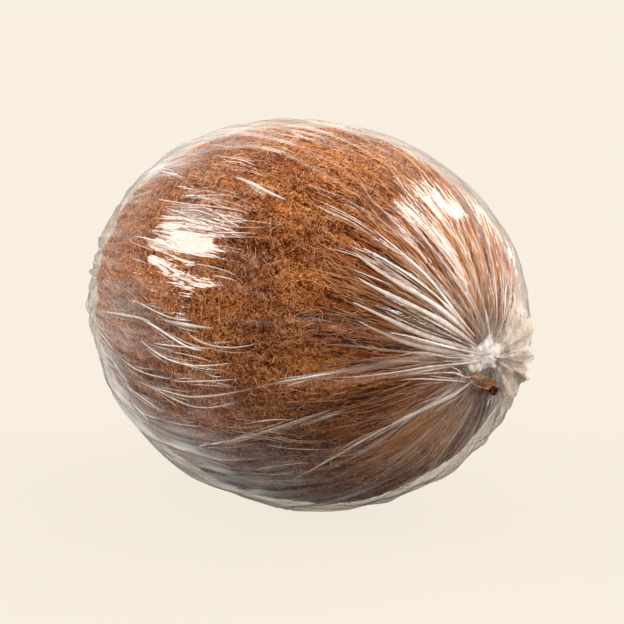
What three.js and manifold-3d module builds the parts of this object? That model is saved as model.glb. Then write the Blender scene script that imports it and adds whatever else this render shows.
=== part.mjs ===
// A whole brown coconut, its husk stripped down to the fibre coat, lying on its side in clear shrink film.
// The nut is one solid. The film is a thin bag round it, gathered in pleats at the stem end, with its
// loose tail pressed down beside the gather, and drawn into a smaller pinch at the blossom end.
// Units are millimetres and +Z is up. The nut's long axis runs along X, with the stem end at +X.

import * as THREE from "three";
import { mergeVertices } from "three/addons/utils/BufferGeometryUtils.js";
import Module from "manifold-3d";

// The nut
const STEM_HALF_LENGTH = 57; // from the widest section to the blunt end with the eyes
const BLOSSOM_HALF_LENGTH = 64;
const NUT_WIDTH = 97;
const LOBE_SHARE = 0.012; // the three-sided section, as a share of the radius
const LOBE_TURN = THREE.MathUtils.degToRad(120); // where one of the three corners runs, from +Y towards +Z
const SUTURE_HEIGHT = 0.7; // the low ridge along each corner
const SUTURE_HALF_WIDTH = 4;
const BUNDLE_HEIGHT = 0.45; // bundles of fibre that run from end to end
const BUNDLE_WAVES = [11, 19]; // how many of them lie round the nut, in two overlapping sets
const BUNDLE_FADE_RADIUS = 15; // nearer the axis than this the bundles merge
const TUFT_HEIGHT = 2.6; // the stub of fibre left over the three eyes
const TUFT_RADIUS = 3.4;
const TUFT_ASIDE = 3.5; // its place from the axis, towards +Y and down
const TUFT_BELOW = 7.5;

// The film
const FILM_STAND_OFF = 1.7; // the film's inside over the nut's mean surface
const FILM_STEM_STAND_OFF = 3.6; // where the tuft holds it away at the stem end
const FILM_WALL = 0.6;
const PLEAT_COUNT = 30;
const PLEAT_HEIGHT = 1.1;
const PLEAT_REACH = 44; // how far from the gather the pleats die out
const BACK_PLEAT_COUNT = 18;
const BACK_PLEAT_HEIGHT = 0.7;
const BACK_PLEAT_REACH = 34;
const PLEAT_ROOT = 7; // nearer the axis than this the pleats merge
const KNOT_HEIGHT = 1.4; // the bunched film at the gather
const KNOT_RADIUS = 3.4;
const THROAT_RADIUS = 0.8; // the way in that stays open through the bunch
const TAIL_LENGTH = 25; // the loose tail, measured from the gather
const TAIL_TURN = THREE.MathUtils.degToRad(-15); // where it points, from +Y towards +Z
const TAIL_HALF_SPREAD = THREE.MathUtils.degToRad(62);
const TAIL_THICKNESS = 1.7;

// How it lies
const FLAT_DEPTH = 1.2; // how far the film's underside is pressed flat
const LYING_GAP = 0.4; // from the film's inside to the nut, over the flat

// Mesh steps
const NUT_STEPS = { around: 84, along: 30, crowd: 1.15 };
const FILM_STEPS = { around: 120, along: 24, crowd: 1.35 };
const LINING_STEPS = { around: 60, along: 18, crowd: 1.1 };
const THROAT_STEPS = 10;

const HALF_WIDTH = NUT_WIDTH / 2;
const AXIS_HEIGHT = HALF_WIDTH + FILM_STAND_OFF + FILM_WALL - FLAT_DEPTH;

const bell = (distance, width) => Math.exp(-((distance / width) ** 2));
const ease = (value) => THREE.MathUtils.smoothstep(value, 0, 1);
const turnBetween = (a, b) => Math.atan2(Math.sin(a - b), Math.cos(a - b));

// A point of the egg shape that nut and film share. polar is 0 at the stem end and PI at the blossom end,
// turn goes round the axis from +Y towards +Z, and stand is the distance outside the nut at side, stem and back.
function eggPoint(polar, turn, stand) {
  const along = Math.cos(polar);
  const round = Math.sin(polar);
  const halfLength = along > 0 ? STEM_HALF_LENGTH + stand.stem : BLOSSOM_HALF_LENGTH + stand.back;
  const lobe = 1 + LOBE_SHARE * Math.cos(3 * (turn - LOBE_TURN)) * round ** 2;
  const radius = (HALF_WIDTH + stand.side) * round * lobe;
  return new THREE.Vector3(halfLength * along, radius * Math.cos(turn), radius * Math.sin(turn));
}

// The way out of the surface there.
function outward(polar, turn) {
  const along = Math.cos(polar) / (polar < Math.PI / 2 ? STEM_HALF_LENGTH : BLOSSOM_HALF_LENGTH);
  const round = Math.sin(polar) / HALF_WIDTH;
  return new THREE.Vector3(along, round * Math.cos(turn), round * Math.sin(turn)).normalize();
}

// Fibre bundles, suture ridges and the tuft, as a height over the egg shape.
function fibreRelief(polar, turn) {
  const radius = HALF_WIDTH * Math.sin(polar);
  const [broad, fine] = BUNDLE_WAVES;
  const bundles =
    0.6 * Math.cos(broad * turn + 0.8 * Math.sin(3 * polar)) +
    0.4 * Math.cos(fine * turn - 1.1 * Math.sin(2 * polar + 1));
  const merge = ease(radius / BUNDLE_FADE_RADIUS);
  let sutures = 0;
  for (const corner of [0, 1, 2]) {
    const away = turnBetween(turn, LOBE_TURN + (corner * 2 * Math.PI) / 3) * radius;
    sutures += bell(away, SUTURE_HALF_WIDTH);
  }
  const towardsStem = 0.5 + 0.5 * Math.cos(polar);
  return merge * (BUNDLE_HEIGHT * bundles + SUTURE_HEIGHT * sutures * towardsStem) + tuftRelief(polar, turn);
}

function tuftRelief(polar, turn) {
  if (polar > Math.PI / 2) return 0;
  const radius = HALF_WIDTH * Math.sin(polar);
  const aside = radius * Math.cos(turn) - TUFT_ASIDE;
  const below = radius * Math.sin(turn) + TUFT_BELOW;
  return TUFT_HEIGHT * bell(Math.hypot(aside, below), TUFT_RADIUS);
}

// Pleats fan out of one end, highest a little way out, and no two are the same height.
function pleatFan(reachAlong, radius, turn, count, height, reach) {
  const rise = ease(radius / PLEAT_ROOT);
  const fade = 1 - ease(reachAlong / reach);
  const uneven = 0.7 + 0.3 * Math.cos(7 * turn + 2);
  const wave = 0.5 + 0.5 * Math.cos(count * turn);
  return height * rise * fade * uneven * wave;
}

// The loose tail lies on the film as a fan with a ragged edge.
function tailRelief(polar, turn) {
  if (polar > Math.PI / 2) return 0;
  const away = turnBetween(turn, TAIL_TURN) / TAIL_HALF_SPREAD;
  const reach = HALF_WIDTH * polar;
  const edge = TAIL_LENGTH * (1 - 0.35 * away ** 2) + 2 * Math.sin(9 * turn) + 1.2 * Math.sin(17 * turn + 1);
  const inSpread = ease((1 - Math.abs(away)) * 4);
  const inReach = ease((edge - reach) / 3);
  const ruffle = 0.8 + 0.2 * Math.cos(15 * turn);
  return TAIL_THICKNESS * inSpread * inReach * ruffle;
}

function filmRelief(polar, turn) {
  const radius = HALF_WIDTH * Math.sin(polar);
  const front = pleatFan(HALF_WIDTH * polar, radius, turn, PLEAT_COUNT, PLEAT_HEIGHT, PLEAT_REACH);
  const back = pleatFan(
    HALF_WIDTH * (Math.PI - polar),
    radius,
    turn,
    BACK_PLEAT_COUNT,
    BACK_PLEAT_HEIGHT,
    BACK_PLEAT_REACH,
  );
  const knot = polar < Math.PI / 2 ? KNOT_HEIGHT * bell(radius, KNOT_RADIUS) : 0;
  return FILM_WALL + front + back + knot + tailRelief(polar, turn);
}

// A closed skin of rings from the stem end to the blossom end. Rings crowd towards the stem end.
function closedSkin(steps, pointAt, lowest) {
  const { around, along, crowd } = steps;
  const positions = [];
  const faces = [];
  const add = (point) => {
    positions.push(point.x, point.y, Math.max(point.z, lowest));
    return positions.length / 3 - 1;
  };
  const stem = add(pointAt(0, 0));
  for (let ring = 1; ring < along; ring++) {
    const polar = Math.PI * (ring / along) ** crowd;
    for (let step = 0; step < around; step++) add(pointAt(polar, (2 * Math.PI * step) / around));
  }
  const back = add(pointAt(Math.PI, 0));
  const corner = (ring, step) => 1 + (ring - 1) * around + (step % around);
  for (let step = 0; step < around; step++) {
    faces.push(stem, corner(1, step), corner(1, step + 1));
    for (let ring = 1; ring < along - 1; ring++) {
      const [a, b] = [corner(ring, step), corner(ring, step + 1)];
      const [c, d] = [corner(ring + 1, step + 1), corner(ring + 1, step)];
      faces.push(a, d, c, a, c, b);
    }
    faces.push(corner(along - 1, step), back, corner(along - 1, step + 1));
  }
  const geometry = new THREE.BufferGeometry();
  geometry.setAttribute("position", new THREE.Float32BufferAttribute(positions, 3));
  geometry.setIndex(faces);
  return geometry;
}

const wasm = await Module();
wasm.setup();

function solidOf(geometry) {
  const bare = geometry.clone().deleteAttribute("normal").deleteAttribute("uv");
  const merged = mergeVertices(bare, 1e-4);
  return new wasm.Manifold(
    new wasm.Mesh({
      numProp: 3,
      vertProperties: new Float32Array(merged.attributes.position.array),
      triVerts: new Uint32Array(merged.index.array),
    }),
  );
}

function geometryOf(solid) {
  const mesh = solid.getMesh();
  const geometry = new THREE.BufferGeometry();
  geometry.setAttribute("position", new THREE.BufferAttribute(mesh.vertProperties, 3));
  geometry.setIndex(new THREE.BufferAttribute(mesh.triVerts, 1));
  geometry.computeVertexNormals();
  return geometry;
}

function nutGeometry() {
  const onNut = { side: 0, stem: 0, back: 0 };
  const pointAt = (polar, turn) =>
    eggPoint(polar, turn, onNut).addScaledVector(outward(polar, turn), fibreRelief(polar, turn));
  const geometry = closedSkin(NUT_STEPS, pointAt, FILM_WALL + LYING_GAP - AXIS_HEIGHT);
  geometry.computeVertexNormals();
  return geometry;
}

function filmGeometry() {
  const inside = { side: FILM_STAND_OFF, stem: FILM_STEM_STAND_OFF, back: FILM_STAND_OFF };
  const lining = closedSkin(
    LINING_STEPS,
    (polar, turn) => eggPoint(polar, turn, inside),
    FILM_WALL - AXIS_HEIGHT,
  );
  const outside = closedSkin(
    FILM_STEPS,
    (polar, turn) =>
      eggPoint(polar, turn, inside).addScaledVector(outward(polar, turn), filmRelief(polar, turn)),
    -AXIS_HEIGHT,
  );
  const throatLength = 4 * (FILM_WALL + KNOT_HEIGHT);
  const throat = new THREE.CylinderGeometry(THROAT_RADIUS, THROAT_RADIUS, throatLength, THROAT_STEPS);
  throat.rotateZ(-Math.PI / 2);
  throat.translate(STEM_HALF_LENGTH + FILM_STEM_STAND_OFF, 0, 0);
  return geometryOf(solidOf(outside).subtract(solidOf(lining)).subtract(solidOf(throat)));
}

const fibreCoat = new THREE.MeshStandardMaterial({ color: "#8a5229", roughness: 0.95, metalness: 0 });
const clearFilm = new THREE.MeshStandardMaterial({
  color: "#e9e4df",
  roughness: 0.15,
  metalness: 0,
  transparent: true,
  opacity: 0.3,
});

const coconut = new THREE.Mesh(nutGeometry(), fibreCoat);
coconut.name = "coconut";

const filmWrap = new THREE.Mesh(filmGeometry(), clearFilm);
filmWrap.name = "film_wrap";

// The origin is under the middle of the wrapped nut, on the surface that it lies on.
const wrappedCoconut = new THREE.Group();
wrappedCoconut.add(coconut, filmWrap);
const extent = new THREE.Box3().setFromObject(wrappedCoconut);
const middle = extent.getCenter(new THREE.Vector3());
wrappedCoconut.position.set(-middle.x, -middle.y, -extent.min.z);

export default wrappedCoconut;
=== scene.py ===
import itertools
import math

import bpy
import numpy as np
from mathutils import Matrix, Vector

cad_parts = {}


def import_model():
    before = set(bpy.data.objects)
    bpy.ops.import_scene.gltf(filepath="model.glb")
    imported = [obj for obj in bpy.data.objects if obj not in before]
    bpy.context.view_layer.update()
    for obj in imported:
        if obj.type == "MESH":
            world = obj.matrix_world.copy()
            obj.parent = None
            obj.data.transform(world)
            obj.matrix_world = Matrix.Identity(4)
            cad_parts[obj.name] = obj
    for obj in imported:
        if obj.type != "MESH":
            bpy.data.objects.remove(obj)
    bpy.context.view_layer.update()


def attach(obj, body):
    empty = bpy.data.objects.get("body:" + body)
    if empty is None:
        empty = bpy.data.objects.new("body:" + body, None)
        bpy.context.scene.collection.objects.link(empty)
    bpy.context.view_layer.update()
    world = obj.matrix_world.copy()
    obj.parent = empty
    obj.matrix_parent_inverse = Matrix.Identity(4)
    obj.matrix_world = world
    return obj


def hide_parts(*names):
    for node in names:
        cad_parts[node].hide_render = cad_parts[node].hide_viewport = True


# A whole brown coconut wrapped tightly in clear shrink film, dressed round its CAD solids.
# Everything is in metres, in the row frame: +X is the stem end, where the film is gathered, and +Z is up.
# polar is the angle from the stem end along a meridian, and turn goes round the long axis, from +Y
# towards +Z.

MM = 0.001

# The nut and its film, the same sizes as the CAD source
STEM_HALF_LENGTH = 57 * MM
BLOSSOM_HALF_LENGTH = 64 * MM
HALF_WIDTH = 48.5 * MM
LOBE_SHARE = 0.012
LOBE_TURN = math.radians(120)
SUTURE_HEIGHT = 0.7 * MM
SUTURE_HALF_WIDTH = 4 * MM
BUNDLE_HEIGHT = 0.45 * MM
BUNDLE_WAVES = (11, 19)
BUNDLE_FADE_RADIUS = 15 * MM
TUFT_HEIGHT = 2.6 * MM
TUFT_RADIUS = 3.4 * MM
TUFT_ASIDE = 3.5 * MM
TUFT_BELOW = 7.5 * MM
FILM_STAND_OFF = 1.7 * MM
FILM_STEM_STAND_OFF = 3.6 * MM
FILM_WALL = 0.6 * MM
KNOT_HEIGHT = 1.4 * MM
KNOT_RADIUS = 3.4 * MM
TAIL_LENGTH = 25 * MM
TAIL_TURN = math.radians(-15)
TAIL_HALF_SPREAD = math.radians(62)
TAIL_THICKNESS = 1.7 * MM
LYING_GAP = 0.4 * MM
EGG_CENTRE = np.array([1.05, -0.60, 49.6]) * MM

# Where the camera stands, from the outline of the nut in the photograph
CAMERA_AZIMUTH = math.radians(44)
CAMERA_ELEVATION = math.radians(14.5)
CAMERA_DISTANCE = 0.8
VIEW_WIDTH = 163.35 * MM
SENSOR_WIDTH = 36
AIM_RIGHT = 0.13 * MM
AIM_UP = 0.31 * MM
CLIP_NEAR = 0.05
CLIP_FAR = 100

FLOOR_HALF_SIDE = 30
FLOOR_BELOW = 0.05 * MM
BACKDROP = "#f7eedf"
FLOOR_SEEN = "#2c2a27"
FLOOR_DULL = "#59544d"
FLOOR_MIRRORED = "#1c1a18"
FLOOR_GLOW = 0.93
FILL_FROM = Vector((0.1, 0.1, 0.99))
FILL_BELOW = 0.6
FILL_ABOVE = 2.4
FILL_IN_FRONT = 0.65
MIRRORED_ROOM = 0.02
MIRRORED_BACKDROP = 0.6
LIGHT_DISTANCE = 6
LIGHT_COLOUR = "#fffaf2"


# Small sums

def bell(distance, width):
    return np.exp(-((distance / width) ** 2))


def ease(value):
    share = np.clip(value, 0, 1)
    return share * share * (3 - 2 * share)


def turn_between(a, b):
    return np.arctan2(np.sin(a - b), np.cos(a - b))


def noise_field(points, seed):
    """Smooth values from -1 to 1 that change over about one unit, the same on every run."""
    table = np.random.default_rng(seed).uniform(-1, 1, 4096)
    cell = np.floor(points).astype(np.int64)
    part = points - cell
    blend = part * part * (3 - 2 * part)
    total = np.zeros(len(points))
    for corner in itertools.product((0, 1), repeat=3):
        weight = np.prod(np.where(corner, blend, 1 - blend), axis=1)
        x, y, z = (cell + corner).T
        total += weight * table[(x * 73856093 ^ y * 19349663 ^ z * 83492791) % len(table)]
    return total


def linear(code):
    """The linear colour, with alpha 1, of an sRGB hex code."""
    shares = [int(code[place:place + 2], 16) / 255 for place in (1, 3, 5)]
    return [share / 12.92 if share < 0.04045 else ((share + 0.055) / 1.055) ** 2.4 for share in shares] + [1]


# The egg shape and what stands out of it

def egg_point(polar, turn, side, stem, back):
    """Points on the egg, with the film's stand-off at the side, the stem end and the blossom end."""
    along = np.cos(polar)
    round_share = np.sin(polar)
    half_length = np.where(along > 0, STEM_HALF_LENGTH + stem, BLOSSOM_HALF_LENGTH + back)
    lobe = 1 + LOBE_SHARE * np.cos(3 * (turn - LOBE_TURN)) * round_share ** 2
    radius = (HALF_WIDTH + side) * round_share * lobe
    return np.stack([half_length * along, radius * np.cos(turn), radius * np.sin(turn)], axis=1)


def outward(polar, turn):
    half_length = np.where(polar < math.pi / 2, STEM_HALF_LENGTH, BLOSSOM_HALF_LENGTH)
    along = np.cos(polar) / half_length
    round_share = np.sin(polar) / HALF_WIDTH
    way = np.stack([along, round_share * np.cos(turn), round_share * np.sin(turn)], axis=1)
    return way / np.linalg.norm(way, axis=1, keepdims=True)


def combed(polar, turn):
    """Coordinates for patterns that run along the meridians: round the nut in X and Y, along it in Z."""
    return np.stack([np.cos(turn), np.sin(turn), polar], axis=1) * HALF_WIDTH


def suture_ridges(polar, turn):
    radius = HALF_WIDTH * np.sin(polar)
    height = np.zeros(len(turn))
    for corner in range(3):
        away = turn_between(turn, LOBE_TURN + corner * 2 * math.pi / 3) * radius
        height += bell(away, SUTURE_HALF_WIDTH)
    return SUTURE_HEIGHT * height * (0.5 + 0.5 * np.cos(polar))


def tuft_relief(polar, turn):
    radius = HALF_WIDTH * np.sin(polar)
    aside = radius * np.cos(turn) - TUFT_ASIDE
    below = radius * np.sin(turn) + TUFT_BELOW
    return np.where(polar < math.pi / 2, TUFT_HEIGHT * bell(np.hypot(aside, below), TUFT_RADIUS), 0)


def fibre_bundles(polar, turn):
    broad, fine = BUNDLE_WAVES
    wide_waves = np.cos(broad * turn + 0.8 * np.sin(3 * polar))
    fine_waves = np.cos(fine * turn - 1.1 * np.sin(2 * polar + 1))
    return BUNDLE_HEIGHT * (0.6 * wide_waves + 0.4 * fine_waves)


def matted_share(polar, turn):
    """How tangled the coir is, from 0 where it is combed straight to 1 where it is felted."""
    patches = noise_field(combed(polar, turn) / (18 * MM), 9)
    return np.clip(0.15 + 0.75 * ease((polar - 0.4) / 0.8) + 0.4 * patches, 0.05, 1)


def crevice_share(polar, turn):
    """Where the coir gapes, from 0 on the fibre to 1 in a crevice about 1.2 mm wide and 5 mm long."""
    lines = combed(polar, turn)
    long_gaps = noise_field(lines / np.array([1.3, 1.3, 9.0]) / MM, 5)
    short_gaps = noise_field(lines / np.array([1.2, 1.2, 3.4]) / MM, 6)
    felted = matted_share(polar, turn)
    return ease((long_gaps * (1 - felted) + short_gaps * felted - 0.31) / 0.3)


def crest_light_and_shade_field(polar, turn):
    """How the combed fibre lies in bundles about 2 mm across, from 1 on a crest to about -0.5 between: it
    places a painted highlight on the crests and painted shade between them.
    """
    lines = combed(polar, turn)
    broad = 1 - 2 * np.abs(noise_field(lines / np.array([5.5, 5.5, 30]) / MM, 7))
    narrow = 1 - 2 * np.abs(noise_field(lines / np.array([2.6, 2.6, 24]) / MM, 3))
    return 0.55 * broad + 0.45 * narrow


# Painted light and shade: spots where the coir is painted paler or darker than elsewhere, standing in for
# more or less light there. Polar angle and turn in degrees, then half the length along the meridian and
# half the width in millimetres, and how much paler it is
PAINTED_LIGHT_SPOTS = (
    (78, 178, 14, 8, 0.03),
    (29, -118, 14, 11, 0.1),
    (27, -106, 10, 8, 0.04),
    (30, -150, 12, 9, 0.03),
    (27, 80, 13, 9, 0.09),
    (53, -148, 14, 9, -0.03),
)


def painted_spot_light(polar, turn):
    return sum(painted_light_tone * spot_share(polar, turn, spot) for *spot, painted_light_tone in PAINTED_LIGHT_SPOTS)


def coir_relief(polar, turn):
    """Height of the fibre coat over the egg: the CAD relief, with finer grooves between the bundles."""
    merge = ease(HALF_WIDTH * np.sin(polar) / BUNDLE_FADE_RADIUS)
    lines = combed(polar, turn)
    grooves = noise_field(lines / np.array([2.6, 2.6, 24]) / MM, 3)
    crumbs = noise_field(lines / np.array([2.0, 2.0, 3.2]) / MM, 4)
    felted = matted_share(polar, turn)
    sharp = 0.35 * MM * (1 - 2 * np.abs(grooves)) * (1.1 - 0.6 * felted) + 0.35 * MM * crumbs * felted
    sharp -= 0.3 * MM * crevice_share(polar, turn)
    base = fibre_bundles(polar, turn) + suture_ridges(polar, turn)
    return merge * (base + sharp) + tuft_relief(polar, turn)


# Meshes

def skin_grid(around, along, crowd):
    """The polar angle and turn of each point of a closed skin, ring by ring, crowded at the stem end."""
    rings = math.pi * (np.arange(1, along) / along) ** crowd
    turns = 2 * math.pi * np.arange(around) / around
    polar = np.concatenate([[0], np.repeat(rings, around), [math.pi]])
    turn = np.concatenate([[0], np.tile(turns, along - 1), [0]])
    return polar, turn


def skin_faces(around, along):
    faces = []
    for ring in range(along - 2):
        start = 1 + ring * around
        for place in range(around):
            right = (place + 1) % around
            faces.append((start + place, start + around + place, start + around + right, start + right))
    last = 1 + (along - 2) * around
    for place in range(around):
        right = (place + 1) % around
        faces.append((0, 1 + place, 1 + right))
        faces.append((last + around, last + right, last + place))
    return faces


def make_mesh(name, points, faces, vectors=None, values=None):
    """A smooth piece from points and faces, with named attributes on its points."""
    mesh = bpy.data.meshes.new(name)
    mesh.from_pydata(points.tolist(), [], faces)
    mesh.polygons.foreach_set("use_smooth", [True] * len(mesh.polygons))
    for key, field in (vectors or {}).items():
        mesh.attributes.new(key, "FLOAT_VECTOR", "POINT").data.foreach_set("vector", field.ravel())
    for key, field in (values or {}).items():
        mesh.attributes.new(key, "FLOAT", "POINT").data.foreach_set("value", field)
    mesh.validate()
    piece = bpy.data.objects.new(name, mesh)
    bpy.context.scene.collection.objects.link(piece)
    return piece


# Nodes

def add_node(tree, kind, inputs=None, stops=None, **settings):
    """Adds one node with its settings. An input is a number, a colour or another node's output."""
    node = tree.nodes.new(kind)
    for key, value in settings.items():
        setattr(node, key, value)
    for key, value in (inputs or {}).items():
        if isinstance(value, bpy.types.NodeSocket):
            tree.links.new(value, node.inputs[key])
        else:
            node.inputs[key].default_value = value
    for place, (position, colour) in enumerate(stops or ()):
        elements = node.color_ramp.elements
        stop = elements[place] if place < 2 else elements.new(position)
        stop.position = position
        stop.color = linear(colour) if isinstance(colour, str) else [colour] * 3 + [1]
    return node


def new_material(name):
    material = bpy.data.materials.new(name)
    material.use_nodes = True
    material.node_tree.nodes.clear()
    return material, material.node_tree


def finish_material(tree, surface):
    add_node(tree, "ShaderNodeOutputMaterial", {"Surface": surface})


def thin_lines(tree, place, size, sharpness):
    """1 along thin wandering lines about one size apart, and 0 between them."""
    field = add_node(tree, "ShaderNodeTexNoise", {
        "Vector": place, "Scale": 1 / size, "Detail": 2, "Roughness": 0.6, "Distortion": 1.0})
    off_line = add_node(tree, "ShaderNodeMath", {0: field.outputs[0], 1: 0.5}, operation="SUBTRACT")
    away = add_node(tree, "ShaderNodeMath", {0: off_line.outputs[0]}, operation="ABSOLUTE")
    line = add_node(tree, "ShaderNodeMapRange", {
        "Value": away.outputs[0], "From Min": 0.0, "From Max": sharpness, "To Min": 1.0, "To Max": 0.0},
        interpolation_type="SMOOTHSTEP")
    return line.outputs[0]


# What the coat's mesh says at each point about its fibre, and where painted light and shade go on it, for
# the coat and the strands that lie on it
COAT_FIELDS = ("crevice", "matted", "crest", "painted_light_tone")


def coir_mat_material():
    """Coconut coir, matted and rasped: dry lignin fibre, dead matte, with painted shade almost black in the
    cracks and crevices between its crumbs.
    """
    material, tree = new_material("coir_mat")
    lines = add_node(tree, "ShaderNodeAttribute", attribute_name="combed").outputs["Vector"]
    crevice, matted, crest, painted_light_tone = [
        add_node(tree, "ShaderNodeAttribute", attribute_name=name).outputs["Fac"] for name in COAT_FIELDS]
    place = add_node(tree, "ShaderNodeTexCoord").outputs["Object"]
    # Single fibres 0.5 mm across and 8 mm long
    streaks = add_node(tree, "ShaderNodeMapping", {"Vector": lines, "Scale": (1, 1, 0.07)})
    fibres = add_node(tree, "ShaderNodeTexNoise", {
        "Vector": streaks.outputs[0], "Scale": 1 / (0.5 * MM), "Detail": 4, "Roughness": 0.65})
    # Crumbs of broken fibre about 0.8 mm across
    crumbs = add_node(tree, "ShaderNodeTexNoise", {
        "Vector": place, "Scale": 1 / (0.8 * MM), "Detail": 4, "Roughness": 0.64, "Distortion": 1.5})
    mixed = add_node(tree, "ShaderNodeMix", {
        "Factor": matted, 2: fibres.outputs[0], 3: crumbs.outputs[0]}, data_type="FLOAT")
    # Thin curled threads about 0.2 mm across, and cracks about 0.3 mm across and a few long, darkened as
    # painted shade
    thread = thin_lines(tree, place, 1.3 * MM, 0.035)
    squashed = add_node(tree, "ShaderNodeMapping", {"Vector": lines, "Scale": (1, 1, 0.45)})
    crack = thin_lines(tree, squashed.outputs[0], 3.2 * MM, 0.03)
    raised = add_node(tree, "ShaderNodeMath", {0: thread, 1: 0.09, 2: mixed.outputs[0]},
                      operation="MULTIPLY_ADD")
    crack_painted_shade = add_node(tree, "ShaderNodeMath", {0: crack, 1: -0.1, 2: raised.outputs[0]},
                       operation="MULTIPLY_ADD")
    # Painted shade: darker in the crevices, where the coat is sunk
    crevice_painted_shade = add_node(tree, "ShaderNodeMath", {0: crevice, 1: -0.045, 2: crack_painted_shade.outputs[0]},
                      operation="MULTIPLY_ADD")
    # Painted light and shade: combed fibre is painted paler on the crests of its bundles and darker in the
    # hollows between them
    crest_light_and_shade = add_node(tree, "ShaderNodeMapRange", {
        "Value": crest, "From Min": 0.1, "From Max": 0.8, "To Min": -0.1, "To Max": 0.06})
    crest_paint_share = add_node(tree, "ShaderNodeMath", {0: matted, 1: -0.85, 2: 1.0}, operation="MULTIPLY_ADD")
    with_crest_light_and_shade = add_node(tree, "ShaderNodeMath", {
        0: crest_light_and_shade.outputs[0], 1: crest_paint_share.outputs[0], 2: crevice_painted_shade.outputs[0]}, operation="MULTIPLY_ADD")
    # Adds the spots of painted light and shade
    depth = add_node(tree, "ShaderNodeMath", {0: with_crest_light_and_shade.outputs[0], 1: painted_light_tone}, operation="ADD")
    colour = add_node(tree, "ShaderNodeValToRGB", {"Fac": depth.outputs[0]}, stops=(
        (0.35, "#2e1305"), (0.63, "#fbcfa6"), (0.44, "#7a441f"), (0.52, "#ba7c49")))
    # Weathered grey and fresh golden areas about 16 mm across
    stains = add_node(tree, "ShaderNodeTexNoise", {"Vector": place, "Scale": 1 / (16 * MM), "Detail": 4})
    tint = add_node(tree, "ShaderNodeValToRGB", {"Fac": stains.outputs[0]}, stops=(
        (0.36, "#c6a390"), (0.64, "#ffe6c0")))
    stained = add_node(tree, "ShaderNodeMix", {
        "Factor": 1.0, 6: colour.outputs[0], 7: tint.outputs[0]}, data_type="RGBA", blend_type="MULTIPLY")
    bump = add_node(tree, "ShaderNodeBump", {
        "Height": depth.outputs[0], "Strength": 1.0, "Distance": 0.9 * MM})
    shader = add_node(tree, "ShaderNodeBsdfPrincipled", {
        "Base Color": stained.outputs[2], "Roughness": 0.95, "Specular IOR Level": 0.02,
        "Normal": bump.outputs[0]})
    finish_material(tree, shader.outputs[0])
    return material


def strand_material(name, dark, middle, light):
    """Single coir fibres: matte, each a little darker or paler than the next."""
    material, tree = new_material(name)
    shade = add_node(tree, "ShaderNodeAttribute", attribute_name="shade").outputs["Fac"]
    place = add_node(tree, "ShaderNodeTexCoord").outputs["Object"]
    # Scorched and bleached lengths about 3 mm long
    blotch = add_node(tree, "ShaderNodeTexNoise", {"Vector": place, "Scale": 1 / (3 * MM), "Detail": 3})
    mixed = add_node(tree, "ShaderNodeMix", {
        "Factor": 0.35, 2: shade, 3: blotch.outputs[0]}, data_type="FLOAT")
    colour = add_node(tree, "ShaderNodeValToRGB", {"Fac": mixed.outputs[0]}, stops=(
        (0.1, dark), (0.9, light), (0.5, middle)))
    shader = add_node(tree, "ShaderNodeBsdfPrincipled", {
        "Base Color": colour.outputs[0], "Roughness": 0.85, "Specular IOR Level": 0.04})
    finish_material(tree, shader.outputs[0])
    return material


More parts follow.
